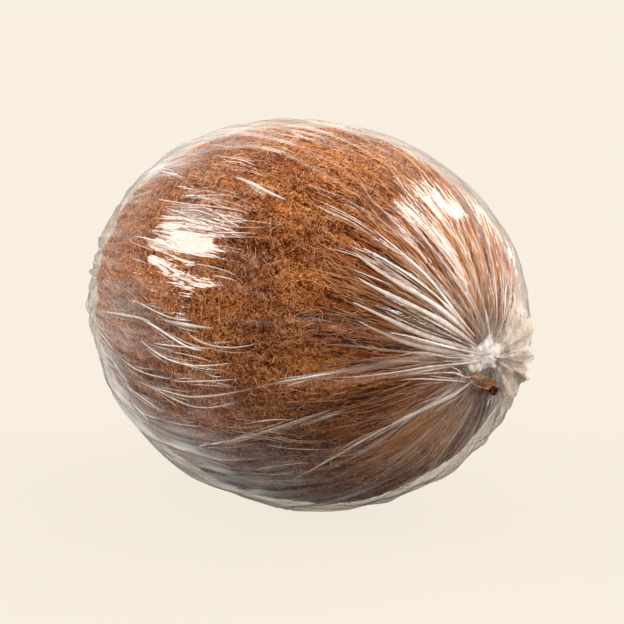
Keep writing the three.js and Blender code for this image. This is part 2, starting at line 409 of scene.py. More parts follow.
def film_material():
    """Shrink film of PVC, blown thin and then shrunk on: clear and glossy, drawn into fine creases, and
    milky where it is folded, bunched or seen edge on."""
    material, tree = new_material("shrink_film")
    lines = add_node(tree, "ShaderNodeAttribute", attribute_name="combed").outputs["Vector"]
    milk = add_node(tree, "ShaderNodeAttribute", attribute_name="milk").outputs["Fac"]
    calm = add_node(tree, "ShaderNodeAttribute", attribute_name="calm").outputs["Fac"]
    place = add_node(tree, "ShaderNodeTexCoord").outputs["Object"]
    wander = add_node(tree, "ShaderNodeTexNoise", {"Vector": place, "Scale": 1 / (15 * MM), "Detail": 1})
    bent = add_node(tree, "ShaderNodeVectorMath", {
        0: wander.outputs["Color"], 1: (3 * MM, 3 * MM, 3 * MM), 2: lines}, operation="MULTIPLY_ADD")
    along = add_node(tree, "ShaderNodeMapping", {"Vector": bent.outputs[0], "Scale": (1, 1, 0.055)})
    # Tension creases about 1.5 mm apart and 25 mm long
    creases = add_node(tree, "ShaderNodeTexNoise", {
        "Vector": along.outputs[0], "Scale": 1 / (1.5 * MM), "Detail": 2.5, "Roughness": 0.55})
    strength = add_node(tree, "ShaderNodeMath", {0: calm, 1: -0.85, 2: 0.95}, operation="MULTIPLY_ADD")
    bump = add_node(tree, "ShaderNodeBump", {
        "Height": creases.outputs[0], "Strength": strength.outputs[0], "Distance": 0.4 * MM})
    # Both faces of the film reflect, so twice what one face gives, and the same from either side
    slope = add_node(tree, "ShaderNodeLayerWeight", {"Blend": 0.5, "Normal": bump.outputs[0]})
    steep = add_node(tree, "ShaderNodeMath", {0: slope.outputs["Facing"], 1: 5.0}, operation="POWER")
    gloss = add_node(tree, "ShaderNodeMath", {0: steep.outputs[0], 1: 0.45, 2: 0.08},
                     operation="MULTIPLY_ADD", use_clamp=True)
    edge = add_node(tree, "ShaderNodeLayerWeight", {"Blend": 0.5}).outputs["Facing"]
    edge_veil = add_node(tree, "ShaderNodeMath", {0: edge, 1: 4.0}, operation="POWER")
    # The veil is streaked along the creases
    streak = add_node(tree, "ShaderNodeMapRange", {
        "Value": creases.outputs[0], "From Min": 0.36, "From Max": 0.64, "To Min": 0.5, "To Max": 1.5})
    whole_veil = add_node(tree, "ShaderNodeMath", {0: edge_veil.outputs[0], 1: 0.38, 2: milk},
                          operation="MULTIPLY_ADD", use_clamp=True)
    veil = add_node(tree, "ShaderNodeMath", {0: whole_veil.outputs[0], 1: streak.outputs[0]},
                    operation="MULTIPLY", use_clamp=True)
    clear = add_node(tree, "ShaderNodeBsdfTransparent", {"Color": linear("#f8f3ee")})
    haze = add_node(tree, "ShaderNodeBsdfDiffuse", {"Color": linear("#d9d8d8"), "Roughness": 0.6})
    body = add_node(tree, "ShaderNodeMixShader", {
        0: veil.outputs[0], 1: clear.outputs[0], 2: haze.outputs[0]})
    shine = add_node(tree, "ShaderNodeBsdfPrincipled", {
        "Base Color": linear("#ffffff"), "Metallic": 1.0, "Roughness": 0.075, "Normal": bump.outputs[0]})
    surface = add_node(tree, "ShaderNodeMixShader", {
        0: gloss.outputs[0], 1: body.outputs[0], 2: shine.outputs[0]})
    finish_material(tree, surface.outputs[0])
    return material


def folded_film_material():
    """The same film where it lies several layers thick in folds: milky white, silky, and let through in
    part."""
    material, tree = new_material("folded_film")
    milk = add_node(tree, "ShaderNodeAttribute", attribute_name="milk").outputs["Fac"]
    place = add_node(tree, "ShaderNodeTexCoord").outputs["Object"]
    # Trapped air shows in lengths about 1.5 mm long
    air = add_node(tree, "ShaderNodeTexNoise", {"Vector": place, "Scale": 1 / (1.5 * MM), "Detail": 3})
    broken = add_node(tree, "ShaderNodeMapRange", {
        "Value": air.outputs[0], "From Min": 0.36, "From Max": 0.6, "To Min": 0.75, "To Max": 1.1})
    dense = add_node(tree, "ShaderNodeMath", {0: milk, 1: broken.outputs[0]}, operation="MULTIPLY",
                     use_clamp=True)
    clear = add_node(tree, "ShaderNodeBsdfTransparent", {"Color": linear("#fbf6f0")})
    layers = add_node(tree, "ShaderNodeBsdfPrincipled", {
        "Base Color": linear("#e3dad3"), "Roughness": 0.5, "Specular IOR Level": 0.3})
    surface = add_node(tree, "ShaderNodeMixShader", {
        0: dense.outputs[0], 1: clear.outputs[0], 2: layers.outputs[0]})
    finish_material(tree, surface.outputs[0])
    return material


# The nut

NUT_STEPS = {"around": 500, "along": 186, "crowd": 1.1}
NUT_LOWEST = FILM_WALL + LYING_GAP


def place_skin(polar, turn, stand, relief, lowest):
    side, stem, back = stand
    points = egg_point(polar, turn, side, stem, back) + outward(polar, turn) * relief[:, None] + EGG_CENTRE
    points[:, 2] = np.maximum(points[:, 2], lowest)
    return points


def meridian_way(polar, turn):
    """Unit vectors along the meridians towards the stem end, the way in which the coir is combed."""
    step = 1e-4
    towards = egg_point(np.maximum(polar - step, 0), turn, 0, 0, 0)
    away = egg_point(np.minimum(polar + step, math.pi), turn, 0, 0, 0)
    way = towards - away
    return way / np.maximum(np.linalg.norm(way, axis=1, keepdims=True), 1e-9)


def make_nut(material):
    polar, turn = skin_grid(**NUT_STEPS)
    points = place_skin(polar, turn, (0, 0, 0), coir_relief(polar, turn), NUT_LOWEST)
    faces = skin_faces(NUT_STEPS["around"], NUT_STEPS["along"])
    nut = make_mesh("coir_coat", points, faces,
                    vectors={"combed": combed(polar, turn), "meridian": meridian_way(polar, turn)},
                    values={"matted": matted_share(polar, turn), "crevice": crevice_share(polar, turn),
                            "crest": crest_light_and_shade_field(polar, turn), "painted_light_tone": painted_spot_light(polar, turn)})
    nut.data.materials.append(material)
    return nut


# Loose strands of coir, laid on the nut by Geometry Nodes

STRAND_INPUTS = (
    ("Strands per area", "NodeSocketFloat"),
    ("Length", "NodeSocketFloat"),
    ("Radius", "NodeSocketFloat"),
    ("Points", "NodeSocketInt"),
    ("Tousle", "NodeSocketFloat"),
    ("Curl", "NodeSocketFloat"),
    ("Curl size", "NodeSocketFloat"),
    ("Felted", "NodeSocketFloat"),
    ("Lift", "NodeSocketFloat"),
    ("Seed", "NodeSocketInt"),
    ("Material", "NodeSocketMaterial"),
)


# How far a strand's shade strays from its clump's, how it goes from painted shade in the hollows of the
# bundles to a painted highlight on their crests, and how many times more than the coat a strand takes on
# the coat's spots of painted light and shade
STRAND_SHADE = 0.38
HOLLOW_PAINTED_SHADE = -0.32
CREST_PAINTED_LIGHT = 0.16
PAINTED_LIGHT_GAIN = 5.0


def strand_roots(tree, given, crevice, matted, straight_share):
    """Scatters the roots over the coat: none in a crevice, and each kind of strand on its own ground."""
    solid = add_node(tree, "ShaderNodeMath", {0: crevice, 1: -1.0, 2: 1.0}, operation="MULTIPLY_ADD")
    kind = add_node(tree, "ShaderNodeMix", {
        "Factor": given["Felted"], 2: straight_share, 3: matted}, data_type="FLOAT")
    share_here = add_node(tree, "ShaderNodeMath", {0: solid.outputs[0], 1: kind.outputs[0]},
                          operation="MULTIPLY")
    density = add_node(tree, "ShaderNodeMath", {0: share_here.outputs[0], 1: given["Strands per area"]},
                       operation="MULTIPLY")
    roots = add_node(tree, "GeometryNodeDistributePointsOnFaces", {
        "Mesh": given["Geometry"], "Density": density.outputs[0], "Seed": given["Seed"]},
        distribute_method="RANDOM")
    return roots.outputs


def strand_heading(tree, given, normal, matted):
    """Turns each strand along the meridian, and the further askew the more its root is felted."""
    meridian = add_node(tree, "GeometryNodeInputNamedAttribute", {"Name": "meridian"},
                        data_type="FLOAT_VECTOR").outputs[0]
    upright = add_node(tree, "FunctionNodeAlignRotationToVector", {"Vector": normal}, axis="Z")
    combed_way = add_node(tree, "FunctionNodeAlignRotationToVector", {
        "Rotation": upright.outputs[0], "Vector": meridian}, axis="X", pivot_axis="Z")
    spread = add_node(tree, "ShaderNodeMath", {0: given["Tousle"], 1: matted}, operation="MULTIPLY")
    back_spread = add_node(tree, "ShaderNodeMath", {0: spread.outputs[0], 1: -1.0}, operation="MULTIPLY")
    askew = add_node(tree, "FunctionNodeRandomValue", {
        2: back_spread.outputs[0], 3: spread.outputs[0], "Seed": given["Seed"]}, data_type="FLOAT")
    swing = add_node(tree, "ShaderNodeCombineXYZ", {"Z": askew.outputs[1]})
    heading = add_node(tree, "FunctionNodeRotateRotation", {
        "Rotation": combed_way.outputs[0], "Rotate By": swing.outputs[0]}, rotation_space="LOCAL")
    return heading.outputs[0]


def strand_shade(tree, crest, painted_light_tone, straight_share):
    """How pale each strand is. Strands near each other are alike, in clumps about 5 mm across. Painted shade
    darkens strands in the bundle hollows, a painted highlight pales them on the crests, and the coat's spots
    of painted light and shade carry over.
    """
    root_place = add_node(tree, "GeometryNodeInputPosition").outputs[0]
    clumps = add_node(tree, "ShaderNodeTexNoise", {"Vector": root_place, "Scale": 1 / (5 * MM), "Detail": 2})
    one_shade = add_node(tree, "FunctionNodeRandomValue", {
        2: -STRAND_SHADE, 3: STRAND_SHADE, "Seed": 5}, data_type="FLOAT")
    crest_light_and_shade = add_node(tree, "ShaderNodeMapRange", {
        "Value": crest, "From Min": 0.1, "From Max": 0.8, "To Min": HOLLOW_PAINTED_SHADE, "To Max": CREST_PAINTED_LIGHT})
    own_painted_light = add_node(tree, "ShaderNodeMath", {0: painted_light_tone, 1: PAINTED_LIGHT_GAIN, 2: one_shade.outputs[1]},
                        operation="MULTIPLY_ADD")
    own_crest_light_and_shade = add_node(tree, "ShaderNodeMath", {
        0: crest_light_and_shade.outputs[0], 1: straight_share, 2: own_painted_light.outputs[0]}, operation="MULTIPLY_ADD")
    shade = add_node(tree, "ShaderNodeMath", {0: clumps.outputs[0], 1: own_crest_light_and_shade.outputs[0]},
                     operation="ADD", use_clamp=True)
    return shade.outputs[0]


def straight_strands(tree, given, roots, heading, shade):
    """One straight line at each root, half to 1.3 times the given length, that remembers its shade."""
    marked = add_node(tree, "GeometryNodeStoreNamedAttribute", {
        "Geometry": roots, "Name": "shade", "Value": shade}, data_type="FLOAT", domain="POINT")
    straight = add_node(tree, "GeometryNodeCurvePrimitiveLine", {
        "Start": (-0.5, 0, 0), "End": (0.5, 0, 0)})
    stepped = add_node(tree, "GeometryNodeResampleCurve", {
        "Curve": straight.outputs[0], "Count": given["Points"]})
    share = add_node(tree, "FunctionNodeRandomValue", {2: 0.5, 3: 1.3, "Seed": 6}, data_type="FLOAT")
    any_length = add_node(tree, "ShaderNodeMath", {0: given["Length"], 1: share.outputs[1]},
                          operation="MULTIPLY")
    laid = add_node(tree, "GeometryNodeInstanceOnPoints", {
        "Points": marked.outputs[0], "Instance": stepped.outputs[0], "Rotation": heading,
        "Scale": any_length.outputs[0]})
    return add_node(tree, "GeometryNodeRealizeInstances", {0: laid.outputs[0]}).outputs[0]


def curled_strands(tree, given, strands, own_shade):
    """Neighbours bend together over about 8 mm, and each strand curls by itself over its curl size."""
    here = add_node(tree, "GeometryNodeInputPosition").outputs[0]
    own_place = add_node(tree, "ShaderNodeMath", {0: own_shade, 1: 300.0}, operation="MULTIPLY")
    together = add_node(tree, "ShaderNodeTexNoise", {"Vector": here, "Scale": 1 / (8 * MM), "Detail": 1})
    curls = add_node(tree, "ShaderNodeMath", {0: 1.0, 1: given["Curl size"]}, operation="DIVIDE")
    alone = add_node(tree, "ShaderNodeTexNoise", {
        "Vector": here, "W": own_place.outputs[0], "Scale": curls.outputs[0], "Detail": 1},
        noise_dimensions="4D")
    both = add_node(tree, "ShaderNodeVectorMath", {
        0: together.outputs["Color"], 1: alone.outputs["Color"]}, operation="ADD")
    centred = add_node(tree, "ShaderNodeVectorMath", {0: both.outputs[0], 1: (1, 1, 1)},
                       operation="SUBTRACT")
    curl = add_node(tree, "ShaderNodeVectorMath", {0: centred.outputs[0], "Scale": given["Curl"]},
                    operation="SCALE")
    curled = add_node(tree, "GeometryNodeSetPosition", {"Geometry": strands, "Offset": curl.outputs[0]})
    return curled.outputs[0]


def resting_strands(tree, given, strands, own_shade, arch):
    """Lays each strand on the coat, tucked in at its ends and arched between them."""
    near = add_node(tree, "GeometryNodeProximity", {0: given["Geometry"]}, target_element="FACES")
    coat_normal = add_node(tree, "GeometryNodeInputNormal").outputs[0]
    facing = add_node(tree, "GeometryNodeSampleNearestSurface", {
        "Mesh": given["Geometry"], "Value": coat_normal}, data_type="FLOAT_VECTOR")
    own_lift = add_node(tree, "ShaderNodeMath", {0: own_shade, 1: given["Lift"]}, operation="MULTIPLY")
    rise = add_node(tree, "ShaderNodeMath", {0: arch, 1: own_lift.outputs[0], 2: -0.05 * MM},
                    operation="MULTIPLY_ADD")
    lifted = add_node(tree, "ShaderNodeVectorMath", {
        0: facing.outputs[0], "Scale": rise.outputs[0]}, operation="SCALE")
    target = add_node(tree, "ShaderNodeVectorMath", {
        0: near.outputs["Position"], 1: lifted.outputs[0]}, operation="ADD")
    resting = add_node(tree, "GeometryNodeSetPosition", {
        "Geometry": strands, "Position": target.outputs[0]})
    return resting.outputs[0]


def thick_strands(tree, given, strands, arch):
    """Three-sided tubes round the strands, thinner towards their ends."""
    taper = add_node(tree, "ShaderNodeMath", {0: arch, 1: 0.6, 2: 0.4}, operation="MULTIPLY_ADD")
    thickness = add_node(tree, "ShaderNodeMath", {0: taper.outputs[0], 1: given["Radius"]},
                         operation="MULTIPLY")
    section = add_node(tree, "GeometryNodeCurvePrimitiveCircle", {"Resolution": 3, "Radius": 1.0})
    thick = add_node(tree, "GeometryNodeSetCurveRadius", {
        "Curve": strands, "Radius": thickness.outputs[0]})
    tubes = add_node(tree, "GeometryNodeCurveToMesh", {
        "Curve": thick.outputs[0], "Profile Curve": section.outputs[0], "Fill Caps": True})
    if "Scale" in tubes.inputs:
        tree.links.new(thickness.outputs[0], tubes.inputs["Scale"])
    return add_node(tree, "GeometryNodeSetShadeSmooth", {"Geometry": tubes.outputs[0]}).outputs[0]


def strand_tree():
    """Lays short curved strands along the meridians of the nut, more askew where it is felted."""
    tree = bpy.data.node_groups.new("coir_strands", "GeometryNodeTree")
    tree.interface.new_socket("Geometry", in_out="INPUT", socket_type="NodeSocketGeometry")
    for name, kind in STRAND_INPUTS:
        tree.interface.new_socket(name, in_out="INPUT", socket_type=kind)
    tree.interface.new_socket("Geometry", in_out="OUTPUT", socket_type="NodeSocketGeometry")
    given = add_node(tree, "NodeGroupInput").outputs
    crevice, matted, crest, painted_light_tone, own_shade = [
        add_node(tree, "GeometryNodeInputNamedAttribute", {"Name": name}, data_type="FLOAT").outputs[0]
        for name in (*COAT_FIELDS, "shade")]
    straight_share = add_node(tree, "ShaderNodeMath", {0: 1.0, 1: matted}, operation="SUBTRACT").outputs[0]
    # 0 at the ends of a strand and 1 in its middle
    along = add_node(tree, "GeometryNodeSplineParameter").outputs["Factor"]
    half_turn = add_node(tree, "ShaderNodeMath", {0: along, 1: math.pi}, operation="MULTIPLY")
    arch = add_node(tree, "ShaderNodeMath", {0: half_turn.outputs[0]}, operation="SINE").outputs[0]

    roots = strand_roots(tree, given, crevice, matted, straight_share)
    heading = strand_heading(tree, given, roots["Normal"], matted)
    shade = strand_shade(tree, crest, painted_light_tone, straight_share)
    strands = straight_strands(tree, given, roots["Points"], heading, shade)
    strands = curled_strands(tree, given, strands, own_shade)
    strands = resting_strands(tree, given, strands, own_shade, arch)
    strands = thick_strands(tree, given, strands, arch)
    real = add_node(tree, "GeometryNodeRealizeInstances", {0: strands})
    dressed = add_node(tree, "GeometryNodeSetMaterial", {
        "Geometry": real.outputs[0], "Material": given["Material"]})
    add_node(tree, "NodeGroupOutput", {"Geometry": dressed.outputs[0]})
    return tree


def lay_strands(name, tree, nut, material, **sizes):
    """Runs the strand tree on a copy of the nut and keeps the result as a plain mesh."""
    carrier = bpy.data.objects.new(name + "_carrier", nut.data)
    bpy.context.scene.collection.objects.link(carrier)
    nodes = carrier.modifiers.new("strands", "NODES")
    nodes.node_group = tree
    sockets = {item.name: item.identifier for item in tree.interface.items_tree if item.in_out == "INPUT"}
    for key, value in sizes.items():
        nodes[sockets[key.replace("_", " ").capitalize()]] = value
    nodes[sockets["Material"]] = material
    laid = carrier.evaluated_get(bpy.context.evaluated_depsgraph_get())
    mesh = bpy.data.meshes.new_from_object(laid)
    bpy.data.objects.remove(carrier)
    mesh.name = name
    if not mesh.materials:
        mesh.materials.append(material)
    piece = bpy.data.objects.new(name, mesh)
    bpy.context.scene.collection.objects.link(piece)
    return piece


def make_strands(nut):
    tree = strand_tree()
    brown = strand_material("brown_coir", "#5a2c10", "#bc8250", "#f4cea8")
    golden = strand_material("golden_coir", "#78421c", "#ca8f5a", "#f4cfa2")
    pale = strand_material("bleached_coir", "#a8683a", "#dea676", "#f9d6ac")
    return [
        lay_strands("coir_combed_strands", tree, nut, brown, strands_per_area=7.0e5, length=7 * MM,
                    radius=0.1 * MM, points=4, tousle=0.5, curl=2.4 * MM, curl_size=2.5 * MM, felted=0.0,
                    lift=0.4 * MM, seed=11),
        lay_strands("coir_curls", tree, nut, golden, strands_per_area=3.6e5, length=1.9 * MM,
                    radius=0.09 * MM, points=4, tousle=2.2, curl=1.7 * MM, curl_size=1.5 * MM,
                    felted=1.0, lift=0.5 * MM, seed=12),
        lay_strands("coir_pale_curls", tree, nut, pale, strands_per_area=1.7e5, length=2.8 * MM,
                    radius=0.08 * MM, points=6, tousle=2.4, curl=2.0 * MM, curl_size=1.5 * MM,
                    felted=1.0, lift=0.7 * MM, seed=13),
    ]


# The film

FILM_STEPS = {"around": 700, "along": 139, "crowd": 1.3}
FILM_STAND = (FILM_STAND_OFF, FILM_STEM_STAND_OFF, FILM_STAND_OFF)

# The longest pleats: turn in degrees, turning in degrees over 50 mm, where it starts and ends in
# millimetres from the gather, half-width and height in millimetres, and how milky its crest is
LONG_PLEATS = (
    (136, -2, 5, 46, 0.8, 0.9, 0.25),
    (151, 0, 4, 42, 0.6, 0.8, 0.25),
    (163, -3, 3, 36, 0.5, 0.7, 0.25),
    (170, -6, 3, 30, 0.4, 0.6, 0.2),
    (178, 9, 3, 64, 0.9, 0.7, 0.12),
    (202, 22, 8, 66, 0.5, 0.8, 0.35),
    (182, 20, 34, 74, 0.5, 0.8, 0.35),
    (228, 6, 6, 50, 0.45, 0.6, 0.25),
    (122, 4, 6, 50, 0.7, 0.7, 0.4),
    (108, 2, 8, 56, 0.7, 0.7, 0.3),
    (94, -3, 8, 52, 0.8, 0.7, 0.3),
    (250, 8, 8, 52, 0.6, 0.7, 0.3),
    (290, -6, 8, 44, 0.7, 0.6, 0.3),
    (330, 4, 8, 50, 0.8, 0.7, 0.3),
    (20, 6, 8, 55, 0.8, 0.7, 0.4),
    (60, -4, 8, 48, 0.7, 0.7, 0.3),
)

# Smooth spots, where the film is stretched flat over the nut: polar angle and turn in degrees, then half
# the length along the meridian and half the width in millimetres, and how far the fine creases are gone
CALM_SPOTS = (
    (90, 149.5, 7.5, 4.8, 0.95),
    (99, 158, 6, 3.3, 1.0),
    (93, 162, 7, 2.7, 0.8),
    (84, 163, 9, 2, 0.5),
    (90, 141, 12, 4, 0.15),
    (88, 131, 11, 3.5, 0.1),
    (44, 86, 6.5, 4.2, 0.9),
    (53, 93, 6, 2, 0.85),
    (45, 105, 8, 1.9, 0.85),
    (31, 102, 11, 1.9, 0.8),
    (38, 97, 11, 0.9, 0.6),
    (96, 171, 5, 1.6, 0.7),
    (99, 165, 9, 4, 0.6),
    (110, 330, 10, 6, 0.5),
    (75, 20, 12, 6, 0.5),
    (86, -174, 10, 4, 0.5),
)

# Grooves between the smooth spots: polar angle and turn of both ends in degrees
GROOVES = (
    ((101, 145), (74, 143)),
    ((103, 154), (79, 160)),
)
GROOVE_HALF_WIDTH = 0.6 * MM
GROOVE_DEPTH = 0.16 * MM

# Where the film is slack and hazy: the same measures, and how milky it is
MILKY_SPOTS = (
    (98, -136, 26, 16, 0.5),
    (120, -160, 9, 18, 0.3),
    (104, 176, 12, 9, 0.14),
    (114, 112, 14, 8, 0.06),
    (18, 60, 16, 9, 0.06),
    (22, -30, 15, 14, 0.3),
    (44, -92, 26, 12, 0.08),
    (27, -112, 12, 8, 0.03),
    (30, -70, 7, 4.5, 0.3),
    (43, -81, 8, 4.5, 0.3),
    (54, -97, 9, 4.5, 0.28),
    (120, 122, 15, 3.5, 0.22),
    (108, 105, 13, 3, 0.2),
    (12, -35, 11, 7, 0.22),
    (66, -112, 10, 5, 0.25),
    (82, -124, 12, 6, 0.25),
    (60, -122, 16, 8, 0.06),
    (80, -170, 10, 5, 0.05),
)

# Where the stub of fibre pokes the film up, and nothing hides it
STUB_WINDOW = (9, -98, 4.5, 5)
WINDOW_CLEARNESS = 0.9

# The many small pleats of both gathers: how many, the longest and the tallest in millimetres, and the seed
STEM_PLEATS = (64, 50, 0.75, 31)
BLOSSOM_PLEATS = (40, 66, 0.6, 32)
# The short creases anywhere on the film: how many, and the seed
TENSION_CREASES = (170, 33)

# The flat facets of the taut film in millimetres, broad and small, and its looser forms
BROAD_FACETS = 0.45
SMALL_FACETS = 0.4
LEAST_STAND = 0.1 * MM
CALM_STAND = 0.3 * MM
SLACK_HEIGHT = 0.9 * MM
HANGING_DROP = 0.7 * MM

# How milky the film is where it is bunched, folded, creased, slack or loose
GATHER_MILK = 0.35
GATHER_MILK_RADIUS = 5 * MM
PLEAT_MILK = 0.13
CREASE_MILK = 0.6
SLACK_MILK = 0.03
TAIL_MILK = 0.12
TAIL_RIDGE_MILK = 0.36
MOST_MILK = 0.8


def spot_share(polar, turn, spot):
    """1 in the middle of an oval spot on the film, and 0 away from it."""
    spot_polar, spot_turn, half_length, half_width = spot
    along = (polar - math.radians(spot_polar)) * HALF_WIDTH * 1.15
    across = turn_between(turn, math.radians(spot_turn)) * HALF_WIDTH * np.sin(polar)
    return np.exp(-((along / half_length) ** 2 + (across / half_width) ** 2) / MM ** 2)


def pleat(reach, turn, sin_polar, start_turn, bend, start, end, half_width, height):
    """One fold that runs out from the gather and fades at both ends."""
    centre = math.radians(start_turn) + math.radians(bend) * reach / (50 * MM)
    away = np.abs(turn_between(turn, centre)) * HALF_WIDTH * sin_polar
    grow = ease((reach - start * MM) / (6 * MM))
    fade = 1 - ease((reach - 0.45 * end * MM) / (0.55 * end * MM))
    width = half_width * MM * (0.35 + 0.65 * ease(reach / (22 * MM)))
    return height * MM * grow * fade * np.exp(-((away / width) ** 1.6))


def fan_of_pleats(reach, turn, sin_polar, count, longest, height, seed):
    """Many small pleats spread unevenly round a gather."""
    draw = np.random.default_rng(seed)
    tallest = np.zeros(len(turn))
    for place in range(count):
        start_turn = (place + draw.uniform(-0.4, 0.4)) * 360 / count
        bend = draw.uniform(-8, 8)
        end = longest * draw.uniform(0.35, 1)
        half_width = draw.uniform(0.35, 0.7)
        one = pleat(reach, turn, sin_polar, start_turn, bend, 1.5, end, half_width,
                    height * draw.uniform(0.5, 1))
        tallest = np.maximum(tallest, one)
    return tallest


def tension_creases(polar, turn, count, seed):
    """Short creases that the stretched film draws along the meridians, anywhere on the nut."""
    draw = np.random.default_rng(seed)
    total = np.zeros(len(turn))
    for _ in range(count):
        centre_polar = math.acos(draw.uniform(-0.98, 0.98))
        centre_turn = draw.uniform(0, 2 * math.pi)
        half_length = draw.uniform(6, 16) * MM
        half_width = draw.uniform(0.4, 0.8) * MM
        height = draw.uniform(0.12, 0.4) * MM
        slant = draw.uniform(-0.25, 0.25)
        along = (polar - centre_polar) * HALF_WIDTH * 1.2
        across = turn_between(turn, centre_turn) * HALF_WIDTH * math.sin(centre_polar) + slant * along
        total += height * bell(along, half_length) * bell(across, half_width)
    return total


def tail_relief(polar, turn):
    """The loose end of the film, pressed down beside the gather in a ragged ruffle."""
    away = turn_between(turn, TAIL_TURN) / TAIL_HALF_SPREAD
    reach = HALF_WIDTH * polar
    edge = TAIL_LENGTH * (1 - 0.35 * away ** 2)
    edge += 2 * MM * np.sin(9 * turn) + 1.2 * MM * np.sin(17 * turn + 1)
    in_spread = ease((1 - np.abs(away)) * 4)
    in_reach = ease((edge - reach) / (3 * MM))
    return TAIL_THICKNESS * in_spread * in_reach


def calm_shares(polar, turn):
    """How flat the film is, and how far its fine creases are gone, both from 0 to 1."""
    flat = [ease(1.8 * spot_share(polar, turn, spot[:4])) for spot in CALM_SPOTS]
    return np.max(flat, axis=0), np.max([share * spot[4] for share, spot in zip(flat, CALM_SPOTS)], axis=0)


def groove(polar, turn, start, end):
    """1 along a groove that runs from one point towards the stem end to another, and 0 away from it."""
    (start_polar, start_turn), (end_polar, end_turn) = np.radians([start, end])
    share = (polar - start_polar) / (end_polar - start_polar)
    away = turn_between(turn, start_turn + (end_turn - start_turn) * share) * HALF_WIDTH * np.sin(polar)
    return ease(4 * share) * ease(4 * (1 - share)) * bell(away, GROOVE_HALF_WIDTH)


def slack_shares(polar, turn):
    """Below the gather the film is slack: how far it stands out in soft folds, and how far it hangs."""
    below = ease(-1.6 * np.sin(turn))
    lines = combed(polar, turn)
    soft_folds = np.maximum(1 - 2 * np.abs(noise_field(lines / np.array([5, 5, 20]) / MM, 26)), 0)
    slack = soft_folds * (below * ease(2.6 * np.sin(polar)))
    return slack, below * ease((1.1 - np.abs(polar - 0.8)) / 0.5)


def long_pleats(reach, turn, sin_polar):
    """The longest pleats, and how milky they are along their crests."""
    height = np.zeros(len(turn))
    milk = np.zeros(len(turn))
    for *shape, whiteness in LONG_PLEATS:
        one = pleat(reach, turn, sin_polar, *shape)
        height = np.maximum(height, one)
        milk = np.maximum(milk, whiteness * (one / (shape[-1] * MM)) ** 2)
    return height, milk


def film_fields(polar, turn):
    """The height of the film over its stand-off, and how milky it is. Bunched and folded film scatters
    light, so pleats, the gather and the tail are milky and the stretched film between them is clear."""
    sin_polar = np.sin(polar)
    reach = HALF_WIDTH * polar
    back_reach = HALF_WIDTH * (math.pi - polar)
    lines = combed(polar, turn)
    calm = calm_shares(polar, turn)[0]
    taut = noise_field(lines / np.array([9, 9, 26]) / MM, 21)
    small = noise_field(lines / np.array([3.4, 3.4, 24]) / MM, 22)
    patches = noise_field(lines / np.array([7, 7, 20]) / MM, 24)
    place = egg_point(polar, turn, 0, 0, 0)
    crumple = 1 - 2 * np.abs(noise_field(place / (2.4 * MM), 23))
    clouds = noise_field(place / (5 * MM), 25)
    ruffle = 1 - 2 * np.abs(noise_field(place / np.array([4, 1.7, 6]) / MM, 27))
    slack, hang = slack_shares(polar, turn)
    folds, folds_milk = long_pleats(reach, turn, sin_polar)
    tail = tail_relief(polar, turn)
    fan = fan_of_pleats(reach, turn, sin_polar, *STEM_PLEATS) * (1 - 0.8 * tail / TAIL_THICKNESS)
    back_fan = fan_of_pleats(back_reach, turn, sin_polar, *BLOSSOM_PLEATS)
    creases = tension_creases(polar, turn, *TENSION_CREASES)

    facets = BROAD_FACETS * (1 - 2 * np.abs(taut)) + SMALL_FACETS * (1 - 2 * np.abs(small))
    relief = LEAST_STAND + facets * MM * (1 - calm) + CALM_STAND * calm
    relief += (np.maximum(folds, fan) + creases) * (1 - calm) + back_fan
    for start, end in GROOVES:
        relief -= GROOVE_DEPTH * groove(polar, turn, start, end)
    relief += 0.5 * KNOT_HEIGHT * bell(reach, KNOT_RADIUS) + 0.3 * suture_ridges(polar, turn)
    relief += tail * (0.35 + 0.1 * crumple + 0.3 * ruffle) + SLACK_HEIGHT * slack - HANGING_DROP * hang

    milk = np.maximum(0.05 * np.maximum(patches - 0.25, 0), folds_milk)
    milk += GATHER_MILK * bell(reach, GATHER_MILK_RADIUS) + 0.05 * np.exp(-reach / (14 * MM))
    milk += PLEAT_MILK * ((fan + back_fan) / MM) ** 2 + CREASE_MILK * (creases / MM) ** 2
    milk += SLACK_MILK * slack
    milk += (TAIL_MILK + TAIL_RIDGE_MILK * np.maximum(ruffle, 0) ** 2) * tail / TAIL_THICKNESS
    for *spot, haze in MILKY_SPOTS:
        milk += haze * spot_share(polar, turn, spot) * (1 + 0.6 * clouds)
    milk *= 1 - WINDOW_CLEARNESS * spot_share(polar, turn, STUB_WINDOW)
    return relief, np.clip(milk, 0, MOST_MILK)


def make_film(material):
    polar, turn = skin_grid(**FILM_STEPS)
    relief, milk = film_fields(polar, turn)
    points = place_skin(polar, turn, FILM_STAND, relief, 0)
    faces = skin_faces(FILM_STEPS["around"], FILM_STEPS["along"])
    film = make_mesh("film_skin", points, faces, vectors={"combed": combed(polar, turn)},
                     values={"milk": milk, "calm": calm_shares(polar, turn)[1]})
    film.data.materials.append(material)
    return film


# The folds of the film, each a thin closed strip that lies on it

FOLD_RINGS = 24
FINE_RINGS = 16
BRIDGED_RINGS = 5

# Fine folds of each gather: how many, the longest in millimetres, whether it is the blossom end's, the seed
GATHER_FOLDS = (
    (76, 40, False, 51),
    (80, 26, True, 52),
)
# Turns in degrees between which the folds of the stem end leave room for those read off the photograph
SEEN_FAN = (115, 235)
UNDERSIDE_DROPPED = 0.6

# How many bunches of short creases and how many folds of the tail, and their seeds
CREASE_CLUSTERS = (58, 53)
TAIL_FOLDS = (150, 55)
# Where the tail's folds lie round the gather, and which way they run below and above it, in degrees
TAIL_FOLD_TURNS = (-75, 55)
TAIL_HEADING_BELOW = -98
TAIL_HEADING_ABOVE = 62

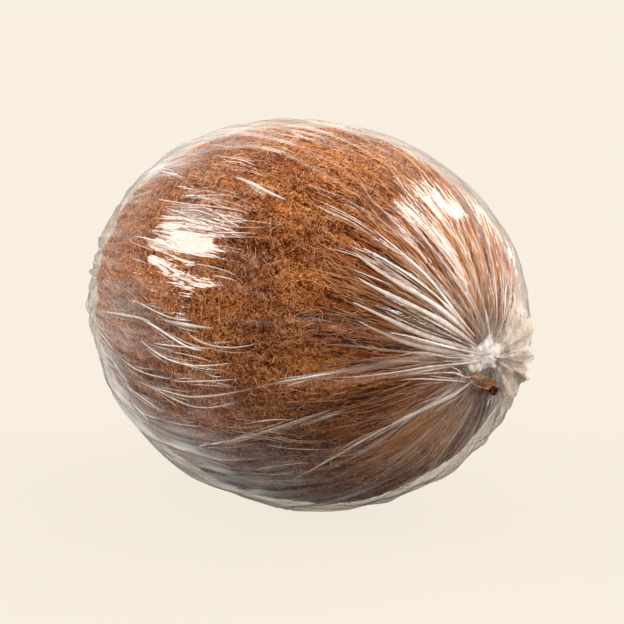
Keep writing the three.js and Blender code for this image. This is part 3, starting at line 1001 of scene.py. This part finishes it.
# Folds read off the photograph, to the nearest degree: their points as polar angle and turn, then half
# the width in millimetres and how white they are
SEEN_FOLDS = (
    (((6, 136), (23, 135), (36, 136), (50, 134)), 0.75, 0.52),
    (((5, 144), (21, 142), (34, 143), (46, 142)), 0.75, 0.52),
    (((5, 154), (19, 157), (31, 155), (45, 152)), 0.7, 0.56),
    (((5, 172), (15, 166), (24, 165), (43, 158)), 0.65, 0.54),
    (((10, 165), (18, 170), (30, 176), (42, 180), (53, 183), (68, 188)), 1.0, 0.14),
    (((40, 179), (53, 183), (60, 185)), 0.22, 0.7),
    (((8, 131), (19, 127), (30, 124), (50, 122)), 0.4, 0.8),
    (((12, 130), (24, 129), (38, 130), (48, 131)), 0.35, 0.8),
    (((6, 160), (16, 161), (25, 160), (34, 161)), 0.25, 0.7),
    (((5, 168), (14, 172), (21, 169), (30, 173)), 0.3, 0.6),
    (((5, 187), (15, 179), (29, 181), (55, 183)), 0.28, 0.55),
    (((7, 222), (11, 200), (15, 188), (29, 183)), 0.25, 0.8),
    (((10, 219), (15, 198), (23, 188), (30, 187)), 0.22, 0.7),
    (((8, 226), (17, 215), (27, 211), (40, 212)), 0.7, 0.66),
    (((25, 211), (38, 212), (53, 218), (73, 228)), 0.32, 0.55),
    (((104, 174), (96, 175), (87, 178), (80, 178)), 0.42, 0.85),
    (((122, 177), (105, 174), (97, 174)), 0.5, 0.35),
    (((102, 180), (96, 182), (91, 184), (81, 183), (71, 180)), 0.36, 0.85),
    (((97, 180), (89, 179), (77, 177)), 0.28, 0.6),
    (((121, 188), (113, 194), (108, 197)), 0.36, 0.8),
    (((119, 190), (112, 196), (106, 199)), 0.3, 0.7),
    (((114, 188), (106, 190), (98, 190), (89, 189)), 0.25, 0.6),
    (((92, 190), (82, 188), (70, 185)), 0.25, 0.8),
    (((110, 198), (103, 200), (96, 202)), 0.42, 0.8),
    (((112, 205), (105, 206), (103, 208)), 0.5, 0.85),
    (((105, 194), (98, 195), (90, 196), (83, 197), (70, 192)), 0.32, 0.7),
    (((99, 194), (91, 194), (82, 193), (65, 187)), 0.3, 0.65),
    (((105, 169), (98, 170), (91, 171), (83, 170)), 0.2, 0.6),
    (((93, 172), (86, 172), (77, 171)), 0.45, 0.5),
    (((86, 173), (81, 176), (73, 176), (65, 173)), 0.22, 0.55),
    (((117, 196), (112, 198), (104, 201), (98, 201)), 0.3, 0.55),
    (((110, 199), (110, 204), (105, 205), (102, 206), (97, 204)), 0.35, 0.6),
    (((98, 205), (89, 204), (84, 203)), 0.2, 0.4),
    (((100, 207), (103, 212), (100, 214), (93, 213)), 0.25, 0.5),
    (((89, 212), (84, 210), (78, 207)), 0.35, 0.7),
    (((104, 114), (96, 115), (89, 112)), 0.18, 0.45),
    (((98, 120), (91, 120), (83, 121)), 0.16, 0.5),
    (((97, 123), (91, 121), (86, 122)), 0.16, 0.5),
    (((87, 211), (79, 208), (67, 204), (56, 199), (47, 196)), 0.6, 0.25),
    (((87, 215), (80, 215), (68, 213)), 0.25, 0.45),
    (((101, 136), (92, 134), (84, 132)), 0.18, 0.5),
    (((96, 138), (88, 137), (78, 136)), 0.2, 0.5),
    (((88, 138), (82, 140), (77, 141)), 0.25, 0.5),
    (((89, 126), (81, 127), (76, 128), (70, 128)), 0.5, 0.55),
    (((105, 148), (98, 149), (93, 151)), 0.2, 0.5),
)


def seen_folds():
    """Each fold read off the photograph, with two fainter and shorter ones close beside it."""
    draw = np.random.default_rng(50)
    for points, half_width, whiteness in SEEN_FOLDS:
        steps = np.linspace(0, 1, len(points))
        polar, turn = np.radians(points).T
        bends = min(len(points) - 1, 3)
        even = np.linspace(0, 1, FOLD_RINGS)
        polar_way = np.polyfit(steps, polar, bends)
        turn_way = np.polyfit(steps, turn, bends)
        yield np.polyval(polar_way, even), np.polyval(turn_way, even), half_width, whiteness
        for way_aside in (-1, 1):
            first = draw.uniform(0.05, 0.45)
            part = np.linspace(first, first + draw.uniform(0.3, 0.55), FOLD_RINGS)
            polar_part = np.polyval(polar_way, part)
            spread = np.linspace(0.3, draw.uniform(0.5, 1.6), FOLD_RINGS)
            aside = way_aside * (half_width + spread) * MM
            turn_part = np.polyval(turn_way, part) + aside / HALF_WIDTH / np.sin(polar_part)
            yield polar_part, turn_part, 0.12 + 0.15 * half_width, draw.uniform(0.35, 0.75) * whiteness


def gather_folds(count, longest, from_blossom, seed):
    """Fine folds that run out from a gather, one beside the other. Those underneath are wider and
    clearer."""
    draw = np.random.default_rng(seed)
    for place in range(count):
        start = draw.uniform(3, 9) * MM
        end = start + longest * draw.uniform(0.2, 1) * MM
        polar = np.linspace(start, end, FINE_RINGS) / HALF_WIDTH
        bend = math.radians(draw.uniform(-9, 9))
        start_turn = 2 * math.pi * (place + draw.uniform(-0.45, 0.45)) / count
        turn = start_turn + bend * polar
        under = ease(-1.6 * math.sin(start_turn))
        half_width = (0.08 + 0.5 * draw.random() ** 2.5) * (1 + 0.8 * under)
        whiteness = draw.uniform(0.05, 0.5) * (1 - 0.8 * under)
        if not from_blossom and SEEN_FAN[0] < math.degrees(start_turn) < SEEN_FAN[1]:
            half_width, whiteness = 0.6 * half_width, 0.5 * whiteness
        if under > 0.5 and draw.random() < UNDERSIDE_DROPPED:
            continue
        yield math.pi - polar if from_blossom else polar, turn, half_width, whiteness


def crease_clusters(count, seed):
    """Bunches of short fine creases side by side, where the film was pulled hardest."""
    draw = np.random.default_rng(seed)
    for _ in range(count):
        centre_polar = math.acos(draw.uniform(-0.8, 0.75))
        centre_turn = draw.uniform(0, 2 * math.pi)
        slant = draw.uniform(-0.3, 0.3)
        for _ in range(draw.integers(3, 9)):
            half_length = draw.uniform(2, 8) * MM / HALF_WIDTH
            way = np.linspace(-1, 1, FINE_RINGS)
            polar = centre_polar + draw.uniform(-0.09, 0.09) + way * half_length
            bow = draw.uniform(-0.02, 0.02) * (1 - way ** 2)
            aside = draw.uniform(-3.5, 3.5) * MM / HALF_WIDTH
            turn = centre_turn + (aside + slant * (polar - centre_polar) + bow) / np.sin(polar)
            yield polar, turn, draw.uniform(0.08, 0.2), draw.uniform(0.2, 0.7)


def near_gather(aside, up):
    """Polar angle and turn of places given across the long axis, close to the stem end."""
    return np.hypot(aside, up) / HALF_WIDTH, np.arctan2(up, aside)


def tail_folds(count, seed):
    """Crumpled folds that run down the tail below the gather, and up and out of it above."""
    draw = np.random.default_rng(seed)
    for _ in range(count):
        from_gather = math.radians(draw.uniform(*TAIL_FOLD_TURNS))
        reach = draw.uniform(4, 21) * MM
        downwards = from_gather < 0.3
        heading = math.radians(TAIL_HEADING_BELOW if downwards else TAIL_HEADING_ABOVE)
        heading += draw.normal(0, 0.3)
        even = np.linspace(-1, 1, FINE_RINGS)
        way = even * draw.uniform(1.5, 5.5) * MM
        bow = draw.uniform(-1, 1) * MM * (1 - even ** 2)
        aside = reach * math.cos(from_gather) + way * math.cos(heading) - bow * math.sin(heading)
        up = reach * math.sin(from_gather) + way * math.sin(heading) + bow * math.cos(heading)
        yield *near_gather(aside, up), draw.uniform(0.08, 0.3), draw.uniform(0.5, 1.2)


def strip_mesh(name, folds, surface, values_name, material, ragged=0.4, crest=0.12):
    """Joins tapered strips with a ridge along the middle, laid on a surface, into one piece."""
    polar = np.array([fold[0] for fold in folds])
    turn = np.array([fold[1] for fold in folds])
    half_width = np.array([fold[2] for fold in folds])[:, None] * MM
    shade = np.array([fold[3] for fold in folds])[:, None]
    count, rings = polar.shape
    path = surface(polar.ravel(), turn.ravel()).reshape(count, rings, 3)
    normal = outward(polar.ravel(), turn.ravel()).reshape(count, rings, 3)
    # A taut fold bridges the small hollows below it
    reach = BRIDGED_RINGS // 2
    padded = np.pad(path, ((0, 0), (reach, reach), (0, 0)), mode="edge")
    middle = sum(padded[:, shift:shift + rings] for shift in range(BRIDGED_RINGS)) / BRIDGED_RINGS
    forward = np.gradient(middle, axis=1)
    side = np.cross(normal, forward)
    side /= np.linalg.norm(side, axis=2, keepdims=True)
    taper = np.sin(math.pi * np.linspace(0.03, 0.97, rings)) ** 0.7
    uneven = 1 + ragged * noise_field(middle.reshape(-1, 3) / (5 * MM), 41).reshape(count, rings)
    wide = (half_width * taper * uneven)[:, :, None]
    corners = np.stack([middle - side * wide, middle + normal * wide * crest + side * wide * 0.3,
                        middle + side * wide, middle - normal * wide * 0.2], axis=2)
    corners[..., 2] = np.maximum(corners[..., 2], 0)
    faces = []
    for fold in range(count):
        for ring in range(rings - 1):
            here = (fold * rings + ring) * 4
            for corner in range(4):
                after = (corner + 1) % 4
                faces.append((here + corner, here + 4 + corner, here + 4 + after, here + after))
        first = fold * rings * 4
        last = first + (rings - 1) * 4
        faces.append((first, first + 1, first + 2, first + 3))
        faces.append((last + 3, last + 2, last + 1, last))
    patchy = 1 + 0.35 * noise_field(middle.reshape(-1, 3) / (7 * MM), 42).reshape(count, rings)
    if values_name == "milk":
        patchy *= 1 - WINDOW_CLEARNESS * spot_share(polar, turn, STUB_WINDOW)
    strength = np.repeat((shade * patchy * taper ** 0.5).ravel(), 4)
    piece = make_mesh(name, corners.reshape(-1, 3), faces, values={values_name: strength})
    piece.data.materials.append(material)
    return piece


def on_film(polar, turn, lift=0.2 * MM):
    return place_skin(polar, turn, FILM_STAND, film_fields(polar, turn)[0] + lift, 0.05 * MM)


def make_folds(material):
    fine = [fold for sizes in GATHER_FOLDS for fold in gather_folds(*sizes)]
    fine += [*crease_clusters(*CREASE_CLUSTERS), *tail_folds(*TAIL_FOLDS)]
    return [strip_mesh("film_seen_folds", list(seen_folds()), on_film, "milk", material),
            strip_mesh("film_fine_folds", fine, on_film, "milk", material)]


# The loose end of the film: crumpled layers pressed down from the gather

TAIL_LAYER_STEPS = (13, 22)
TAIL_LAYER_START = 1.2
TAIL_LAYER_THICKNESS = 0.08 * MM

# Each layer: turn and half spread in degrees, length and lift of the tip in millimetres, how milky
TAIL_LAYERS = (
    (30, 18, 17, 0.6, 0.22),
    (8, 16, 20, 0.8, 0.26),
    (-14, 4, 21, 1.9, 0.3),
    (-17, 14, 20.5, 0.9, 0.26),
    (-28, 8, 20.5, 0.9, 0.28),
    (-42, 15, 20, 0.8, 0.24),
)


def shell_faces(rows, columns):
    """Faces of a thin closed shell: an upper grid, a lower grid and the edge between them."""
    under = rows * columns
    faces = []
    for row in range(rows - 1):
        for column in range(columns - 1):
            one = row * columns + column
            four = (one, one + columns, one + columns + 1, one + 1)
            faces.append(four)
            faces.append(tuple(corner + under for corner in reversed(four)))
    rim = list(range(columns))
    rim += [row * columns + columns - 1 for row in range(1, rows)]
    rim += [(rows - 1) * columns + column for column in range(columns - 2, -1, -1)]
    rim += [row * columns for row in range(rows - 2, 0, -1)]
    for place, one in enumerate(rim):
        after = rim[(place + 1) % len(rim)]
        faces.append((one, after, after + under, one + under))
    return faces


def tail_layer(turn, half_spread, length, lift, seed):
    """One crumpled layer, from the gather out to a ragged tip, as an upper and a lower grid."""
    rows, columns = TAIL_LAYER_STEPS
    across, along = np.meshgrid(np.linspace(-1, 1, rows), np.linspace(0, 1, columns), indexing="ij")
    across = across.ravel()
    along = along.ravel()
    ragged = 1 - 0.25 * across ** 2 + 0.05 * np.sin(4 * across + seed)
    reach = (TAIL_LAYER_START + (length - TAIL_LAYER_START) * along * ragged) * MM
    turns = math.radians(turn) + math.radians(half_spread) * across * (0.5 + 0.5 * along)
    polar = reach / HALF_WIDTH
    crumple = noise_field(egg_point(polar, turns, 0, 0, 0) / np.array([4, 1.8, 6]) / MM, 60 + seed)
    ruffle = np.abs(np.cos(2.5 * math.pi * across + seed)) * (0.2 + 0.5 * along)
    height = (0.15 + lift * along ** 1.5 + 0.45 * ruffle + 0.3 * crumple * along) * MM
    height = np.maximum(height, 0.1 * MM)
    upper = on_film(polar, turns, height)
    return np.concatenate([upper, upper - outward(polar, turns) * TAIL_LAYER_THICKNESS])


def make_tail(material):
    rows, columns = TAIL_LAYER_STEPS
    points = []
    faces = []
    milk = []
    for place, (turn, half_spread, length, lift, whiteness) in enumerate(TAIL_LAYERS):
        start = sum(len(layer) for layer in points)
        layer = tail_layer(turn, half_spread, length, lift, place)
        points.append(layer)
        faces += [tuple(corner + start for corner in face) for face in shell_faces(rows, columns)]
        milk.append(np.full(len(layer), whiteness))
    tail = make_mesh("film_tail", np.concatenate(points), faces, values={"milk": np.concatenate(milk)})
    tail.data.materials.append(material)
    return tail


# The knot in the middle of the gather: film twisted together and flattened, with arms of bunched folds

KNOT_STEPS = {"around": 96, "along": 30, "crowd": 1.0}

# Each arm: turn and half spread in degrees, and length in millimetres
KNOT_ARMS = (
    (184, 5, 5.5),
    (170, 4, 7.0),
    (152, 5, 5.0),
    (134, 6, 3.0),
    (62, 9, 2.5),
    (20, 8, 2.0),
    (-40, 9, 2.0),
)
KNOT_ASIDE = -2.9 * MM
KNOT_UP = 0.4 * MM
KNOT_REACH = 3.2
KNOT_WIDER = 1.6
KNOT_SWELL = 0.3
KNOT_CREASE_DEPTH = 0.55
KNOT_MOST_MILK = 0.9


def on_gather(aside, up, lift):
    """Places close to the stem end, over the pleats there and over the start of the tail."""
    polar, turn = near_gather(aside, up)
    relief = 0.5 * KNOT_HEIGHT * bell(HALF_WIDTH * polar, KNOT_RADIUS) + 0.7 * MM
    relief += 1.0 * MM * ease((aside + 3 * MM) / (4 * MM))
    return place_skin(polar, turn, FILM_STAND, relief + lift, 0.05 * MM)


def make_knot(material):
    polar, turn = skin_grid(**KNOT_STEPS)
    spread = KNOT_REACH + KNOT_WIDER * np.cos(turn - 0.5) ** 2
    for arm_turn, half_spread, length in KNOT_ARMS:
        spread += length * bell(turn_between(turn, math.radians(arm_turn)), math.radians(half_spread))
    reach = spread * np.sin(polar) * MM
    aside = reach * np.cos(turn) + KNOT_ASIDE
    up = reach * np.sin(turn) + KNOT_UP
    # Folds about 0.7 mm across that turn a little as they run outwards
    twist = turn + 0.5 * np.sin(polar)
    way = np.stack([5.5 * np.cos(twist), 5.5 * np.sin(twist), 0.8 * np.sin(polar)], axis=1)
    plane = np.stack([aside, up, 0 * up], axis=1)
    creases = 1 - np.abs(noise_field(way, 91)) - 1.2 * np.abs(noise_field(plane / (0.9 * MM), 93))
    clouds = noise_field(plane / (2.2 * MM), 92)
    upper = np.maximum(np.cos(polar), 0)
    height = KNOT_SWELL * upper + KNOT_CREASE_DEPTH * creases * np.sin(polar) ** 0.5 * upper ** 0.7
    height *= MM
    height = np.where(np.cos(polar) > 0, np.maximum(height, 0), -0.1 * MM)
    points = on_gather(aside, up, height)
    # The arms fade out into the pleats
    thick = 1 - 0.65 * ease((reach - KNOT_REACH * MM) / (3 * MM))
    milk = (0.8 + 0.4 * creases + 0.3 * clouds) * thick * ease(1.3 * upper)
    milk = np.clip(milk, 0.0, KNOT_MOST_MILK)
    faces = skin_faces(KNOT_STEPS["around"], KNOT_STEPS["along"])
    knot = make_mesh("film_knot", points, faces, values={"milk": milk})
    knot.data.materials.append(material)
    return knot


# The stub of fibre below the gather

STUB_FIBRES = 60
STUB_END_STEPS = {"around": 40, "along": 24, "crowd": 1.0}
# Where the cut end sits, as polar angle and turn in degrees, and its radius and its dimple in millimetres
STUB_END_PLACE = (9.9, -76.0)
STUB_END_RADIUS = 1.15
STUB_END_DIMPLE = 0.6


def stub_fibres():
    """Fibres that sweep round under the gather and end together in the stub."""
    draw = np.random.default_rng(81)
    for _ in range(STUB_FIBRES):
        spread = draw.uniform(-1, 1)
        way = np.linspace(0, 1, FOLD_RINGS)
        polar = np.radians(draw.uniform(3.5, 8) + (8.5 + 1.6 * spread - 6) * way)
        polar += np.radians(1.2) * np.sin(math.pi * way) * draw.uniform(-1, 1)
        turn = np.radians(draw.uniform(200, 245) + (286 - 225) * way + 3 * spread)
        yield polar, turn, draw.uniform(0.14, 0.28), draw.uniform(0.0, 1.0)


def on_stub(polar, turn):
    crown = spot_share(polar, turn, (9.5, -88, 3.0, 4.0))
    jitter = noise_field(combed(polar, turn) / (0.8 * MM), 82)
    lift = 0.6 * MM + 2.2 * MM * crown + 0.5 * MM * jitter
    return place_skin(polar, turn, (0, 0, 0), coir_relief(polar, turn) + lift, NUT_LOWEST)


def make_stub(material):
    """The fibres, and the round end that they make where they were cut, with painted shade darkening its
    dimpled middle.
    """
    fibres = strip_mesh("stub_fibres", list(stub_fibres()), on_stub, "shade", material, 0.6, 0.7)
    polar, turn = skin_grid(**STUB_END_STEPS)
    dimple = bell(polar, 0.55)
    lumps = noise_field(np.stack([polar * 3, np.cos(turn) * 3, np.sin(turn) * 3], axis=1), 83)
    radius = (STUB_END_RADIUS * (1 + 0.25 * lumps) - STUB_END_DIMPLE * dimple)[:, None] * MM
    ball = np.stack([np.cos(polar), np.sin(polar) * np.cos(turn), np.sin(polar) * np.sin(turn)], axis=1)
    seat = on_stub(*np.radians(STUB_END_PLACE)[:, None]) + np.array([0.3, 0, -0.3]) * MM
    faces = skin_faces(STUB_END_STEPS["around"], STUB_END_STEPS["along"])
    # Painted shade: the end is darker in its dimple
    end = make_mesh("stub_end", ball * radius + seat, faces,
                    values={"shade": -0.15 + 0.6 * lumps - 0.5 * dimple})
    end.data.materials.append(material)
    return [fibres, end]


# Camera, floor and lights

def view_back():
    """The way from the nut to the camera."""
    level = math.cos(CAMERA_ELEVATION)
    return Vector((math.sin(CAMERA_AZIMUTH) * level, -math.cos(CAMERA_AZIMUTH) * level,
                   math.sin(CAMERA_ELEVATION)))


def make_camera():
    back = view_back()
    right = Vector((math.cos(CAMERA_AZIMUTH), math.sin(CAMERA_AZIMUTH), 0))
    aim = Vector(EGG_CENTRE) + right * AIM_RIGHT + back.cross(right) * AIM_UP
    data = bpy.data.cameras.new("camera")
    data.sensor_width = SENSOR_WIDTH
    data.lens = SENSOR_WIDTH * CAMERA_DISTANCE / VIEW_WIDTH
    data.clip_start = CLIP_NEAR
    data.clip_end = CLIP_FAR
    camera = bpy.data.objects.new("camera", data)
    camera.location = aim + back * CAMERA_DISTANCE
    camera.rotation_euler = (-back).to_track_quat("-Z", "Y").to_euler()
    bpy.context.scene.collection.objects.link(camera)
    bpy.context.scene.camera = camera


def make_floor():
    """A plain pale floor just under the part, out past every view. It glows a little, so that the
    shadow stays faint, and it is duller to everything but the camera, so that the underside stays dark."""
    corners = np.array([(-1, -1, 0), (1, -1, 0), (1, 1, 0), (-1, 1, 0)], float) * FLOOR_HALF_SIDE
    floor = make_mesh("floor", corners - [0, 0, FLOOR_BELOW], [(0, 1, 2, 3)])
    material, tree = new_material("pale_floor")
    glow = add_node(tree, "ShaderNodeEmission", {"Color": linear(BACKDROP), "Strength": FLOOR_GLOW})
    paper = add_node(tree, "ShaderNodeBsdfDiffuse", {"Color": linear(FLOOR_SEEN)})
    seen = add_node(tree, "ShaderNodeAddShader", {0: glow.outputs[0], 1: paper.outputs[0]})
    dull = add_node(tree, "ShaderNodeBsdfDiffuse", {"Color": linear(FLOOR_DULL)})
    dark = add_node(tree, "ShaderNodeBsdfDiffuse", {"Color": linear(FLOOR_MIRRORED)})
    ray = add_node(tree, "ShaderNodeLightPath").outputs
    unseen = add_node(tree, "ShaderNodeMixShader", {
        0: ray["Is Glossy Ray"], 1: dull.outputs[0], 2: dark.outputs[0]})
    shader = add_node(tree, "ShaderNodeMixShader", {
        0: ray["Is Camera Ray"], 1: unseen.outputs[0], 2: seen.outputs[0]})
    finish_material(tree, shader.outputs[0])
    floor.data.materials.append(material)


def make_world():
    """A pale room, brighter overhead and darker round the camera. The film mirrors the backdrop behind
    the nut, and little else."""
    world = bpy.data.worlds.new("studio")
    world.use_nodes = True
    world.node_tree.nodes.clear()
    tree = world.node_tree
    way = add_node(tree, "ShaderNodeTexCoord").outputs["Generated"]
    above = add_node(tree, "ShaderNodeVectorMath", {0: way, 1: FILL_FROM}, operation="DOT_PRODUCT")
    overhead = add_node(tree, "ShaderNodeMapRange", {
        "Value": above.outputs["Value"], "From Min": -0.2, "From Max": 1.0, "To Min": FILL_BELOW,
        "To Max": FILL_ABOVE})
    in_front = add_node(tree, "ShaderNodeVectorMath", {0: way, 1: view_back()}, operation="DOT_PRODUCT")
    front_share = add_node(tree, "ShaderNodeMapRange", {
        "Value": in_front.outputs["Value"], "From Min": 0.2, "From Max": 1.0, "To Min": 1.0,
        "To Max": FILL_IN_FRONT})
    fill_here = add_node(tree, "ShaderNodeMath", {
        0: overhead.outputs[0], 1: front_share.outputs[0]}, operation="MULTIPLY")
    behind = add_node(tree, "ShaderNodeVectorMath", {0: way, 1: -view_back()}, operation="DOT_PRODUCT")
    mirrored = add_node(tree, "ShaderNodeMapRange", {
        "Value": behind.outputs["Value"], "From Min": 0.1, "From Max": 0.6, "To Min": MIRRORED_ROOM,
        "To Max": MIRRORED_BACKDROP})
    seen = add_node(tree, "ShaderNodeBackground", {"Color": linear(BACKDROP), "Strength": 1.0})
    fill = add_node(tree, "ShaderNodeBackground", {
        "Color": linear("#ffffff"), "Strength": fill_here.outputs[0]})
    dark = add_node(tree, "ShaderNodeBackground", {
        "Color": linear(BACKDROP), "Strength": mirrored.outputs[0]})
    ray = add_node(tree, "ShaderNodeLightPath").outputs
    room = add_node(tree, "ShaderNodeMixShader", {
        0: ray["Is Glossy Ray"], 1: fill.outputs[0], 2: dark.outputs[0]})
    sky = add_node(tree, "ShaderNodeMixShader", {
        0: ray["Is Camera Ray"], 1: room.outputs[0], 2: seen.outputs[0]})
    add_node(tree, "ShaderNodeOutputWorld", {"Surface": sky.outputs[0]})
    bpy.context.scene.world = world


def strip_box(name, start, end, breadth_degrees, radiance, mirrored=True):
    """A studio strip light that faces the nut. It runs from one direction to another as seen from the
    nut, and is far off, so that it lights the floor evenly. Soft fill panels aren't mirrored."""
    start = Vector(start).normalized()
    end = Vector(end).normalized()
    towards = (start + end).normalized()
    along = (end - start).normalized()
    length = 2 * LIGHT_DISTANCE * math.tan(start.angle(end) / 2)
    breadth = 2 * LIGHT_DISTANCE * math.tan(math.radians(breadth_degrees / 2))
    data = bpy.data.lights.new(name, "AREA")
    data.shape = "RECTANGLE"
    data.size = length
    data.size_y = breadth
    data.energy = radiance * math.pi * length * breadth
    data.color = linear(LIGHT_COLOUR)[:3]
    light = bpy.data.objects.new(name, data)
    turned = Matrix((along, towards.cross(along), towards)).transposed().to_4x4()
    light.matrix_world = Matrix.Translation(Vector(EGG_CENTRE) + towards * LIGHT_DISTANCE) @ turned
    light.visible_camera = False
    light.visible_glossy = mirrored
    bpy.context.scene.collection.objects.link(light)


def make_lights():
    strip_box("left_box", (-0.87, -0.36, 0.36), (-0.51, -0.65, 0.56), 14, 11)
    strip_box("left_upper_box", (-0.84, -0.21, 0.50), (-0.43, -0.50, 0.75), 6, 4)
    strip_box("left_lower_box", (-0.90, -0.38, 0.24), (-0.60, -0.77, 0.22), 5, 10)
    strip_box("left_panel", (-0.93, -0.30, 0.16), (-0.35, -0.76, 0.55), 20, 5, mirrored=False)
    strip_box("right_upper_box", (-0.06, 0.71, 0.70), (0.11, 0.87, 0.48), 10, 14)
    strip_box("right_box", (0.17, 0.35, 0.92), (0.66, 0.66, 0.32), 10, 11.5)
    strip_box("right_panel", (0.0, 0.62, 0.78), (0.75, 0.62, 0.20), 24, 3.6, mirrored=False)
    strip_box("stem_end_panel", (0.9, -0.4, 0.12), (0.98, 0.15, 0.12), 12, 2.9, mirrored=False)
    strip_box("top_strip", (-0.66, 0.70, 0.30), (-0.59, 0.52, 0.62), 6, 2.5)


# The whole

def main():
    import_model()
    make_camera()
    make_world()
    make_floor()
    make_lights()

    nut = make_nut(coir_mat_material())
    stub = make_stub(strand_material("stub_coir", "#35170a", "#a96c3a", "#f5c890"))
    film = make_film(film_material())
    layered = folded_film_material()

    for piece in [nut, *stub, *make_strands(nut)]:
        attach(piece, "root")
    for piece in [film, *make_folds(layered), make_tail(layered), make_knot(layered)]:
        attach(piece, "root")
    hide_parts("coconut")
    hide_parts("film_wrap")

    bpy.context.scene.view_settings.view_transform = "Standard"


main()
